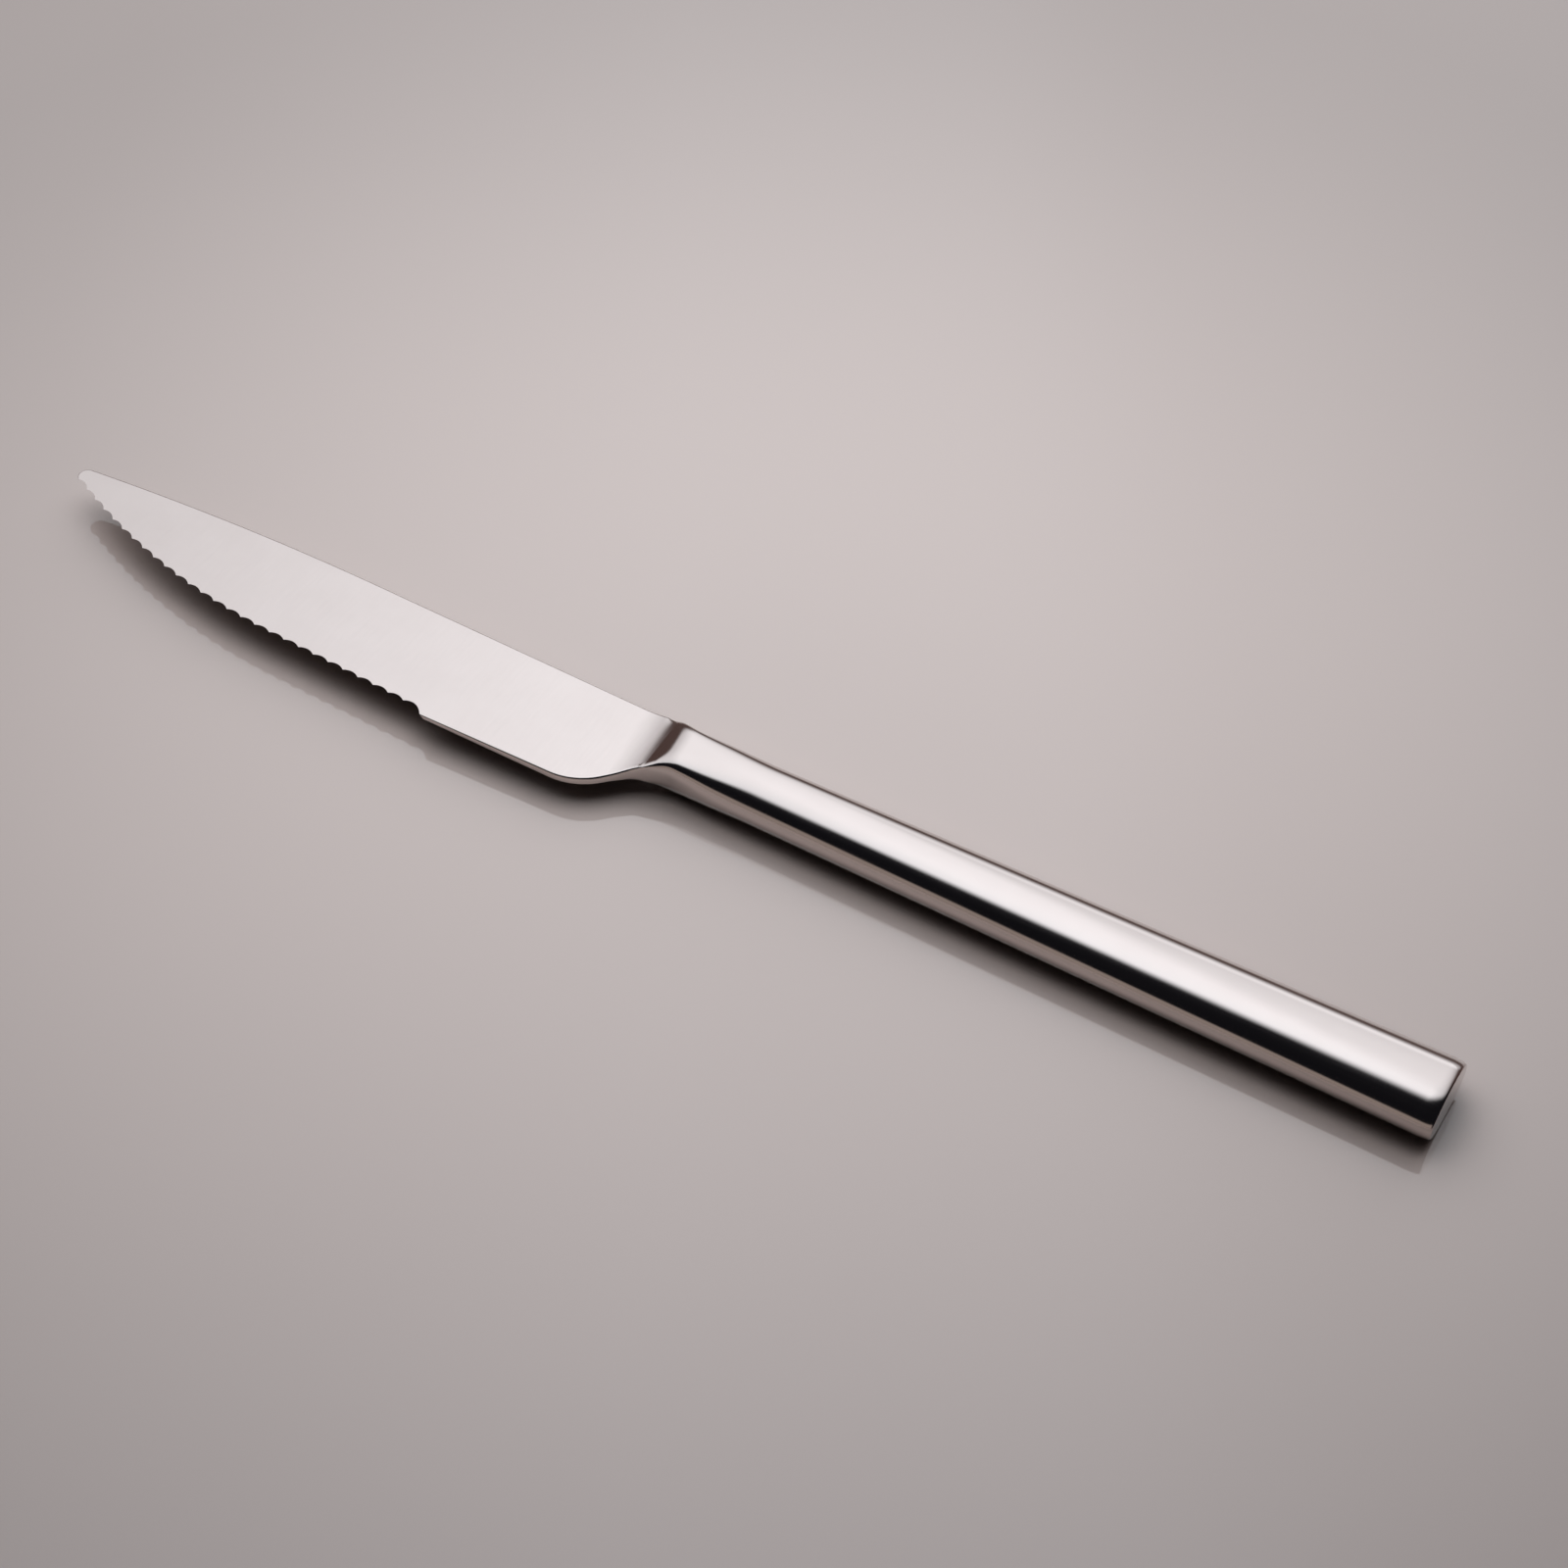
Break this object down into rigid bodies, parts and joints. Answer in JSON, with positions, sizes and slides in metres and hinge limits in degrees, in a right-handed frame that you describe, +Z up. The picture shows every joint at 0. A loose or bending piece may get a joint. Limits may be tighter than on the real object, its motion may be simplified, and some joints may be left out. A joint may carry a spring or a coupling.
{
  "type": "steak knife",
  "caption": "Steak knife lying on its side: a slim tapering blade with a serrated edge and a plain rounded heel, on a slender flattened oval steel handle that widens to the butt.",
  "frame": {"origin": "middle of the flat along the handle's underside, on the surface the knife lies on, half way between the blade's joint and the butt", "axes": "+X along the handle to the butt, so the blade points to -X; the cutting edge faces -Y; +Z is up, away from the surface"},
  "size_m": [0.235, 0.0196, 0.0081],
  "materials": {
    "blade_steel": "satin",
    "handle_steel": "polished",
    "cement": "matte"
  },
  "bodies": {
    "root": {"blade": "blade_steel", "bolster": "handle_steel", "upper_shell": "handle_steel", "lower_shell": "handle_steel", "butt_cap": "handle_steel", "tang_cement": "cement"}
  },
  "joints": []
}
